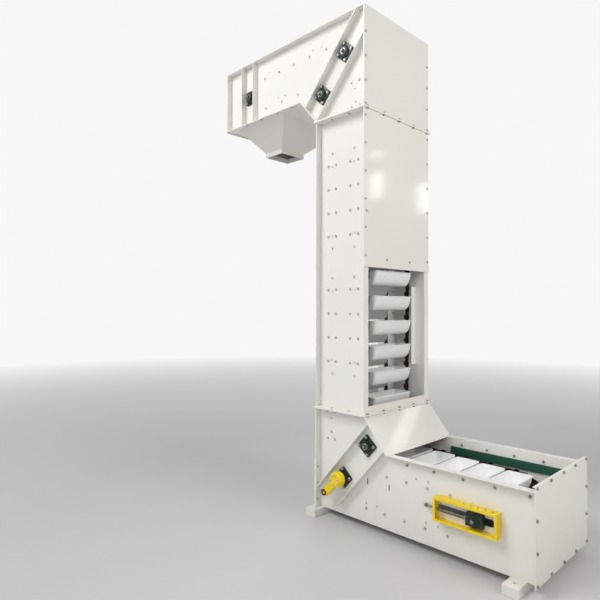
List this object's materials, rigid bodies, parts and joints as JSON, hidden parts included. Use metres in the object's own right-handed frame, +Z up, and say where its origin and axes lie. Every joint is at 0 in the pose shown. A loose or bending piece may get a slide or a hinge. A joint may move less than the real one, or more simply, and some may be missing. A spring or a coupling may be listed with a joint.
{
  "type": "bucket elevator",
  "caption": "Z-type bucket elevator: open infeed trough, column with open windows, discharge head with hopper, and a chain of hanging buckets.",
  "frame": {"origin": "on the floor, under the middle of the base beam below the column's back", "axes": "+X along the trough to the infeed end, +Y to the rear, away from the gear unit, +Z up"},
  "size_m": [2.388, 0.82, 3.194],
  "materials": {
    "casing_paint": "gloss cream-white paint",
    "beam_paint": "cream-white paint on tube",
    "yellow_paint": "gloss safety-yellow paint",
    "bearing_paint": "dark green cast housings, satin",
    "shaft_steel": "bright drawn steel",
    "wheel_steel": "oiled machined steel",
    "chain_steel": "oiled dark steel",
    "bucket_plastic": "milky white polypropylene",
    "guide_plastic": "green sliding plastic"
  },
  "bodies": {
    "root": {"base_beams": "beam_paint", "boot_side_front": "casing_paint", "boot_side_rear": "casing_paint", "boot_floor": "casing_paint", "boot_back_wall": "casing_paint", "boot_back_cover": "casing_paint", "infeed_end_plate": "casing_paint", "inclined_cover": "casing_paint", "boot_ribs": "casing_paint", "trough_guide_strips": "guide_plastic", "joint_rings_lower": "casing_paint", "joint_rings_upper": "casing_paint", "column_side_front": "casing_paint", "column_side_rear": "casing_paint", "column_cross_bars": "casing_paint", "column_covers": "casing_paint", "chain_guards": "casing_paint", "head_side_front": "casing_paint", "head_side_rear": "casing_paint", "head_roof": "casing_paint", "head_front_plate": "casing_paint", "head_end_plate": "casing_paint", "head_underside": "casing_paint", "discharge_hopper": "casing_paint", "head_ribs": "casing_paint", "boot_bearings": "bearing_paint", "head_bearings": "bearing_paint", "boot_shafts": "shaft_steel", "tail_shaft": "shaft_steel", "head_shafts": "shaft_steel", "gear_unit": "yellow_paint", "takeup_carriages": "bearing_paint", "takeup_screws": "shaft_steel", "takeup_guards": "yellow_paint", "boot_wheels": "wheel_steel", "tail_wheels": "wheel_steel", "head_wheels": "wheel_steel", "chain_front": "chain_steel", "chain_rear": "chain_steel", "buckets_infeed": "bucket_plastic", "buckets_rising": "bucket_plastic", "buckets_head": "bucket_plastic", "buckets_falling": "bucket_plastic", "buckets_return": "bucket_plastic"}
  },
  "joints": []
}
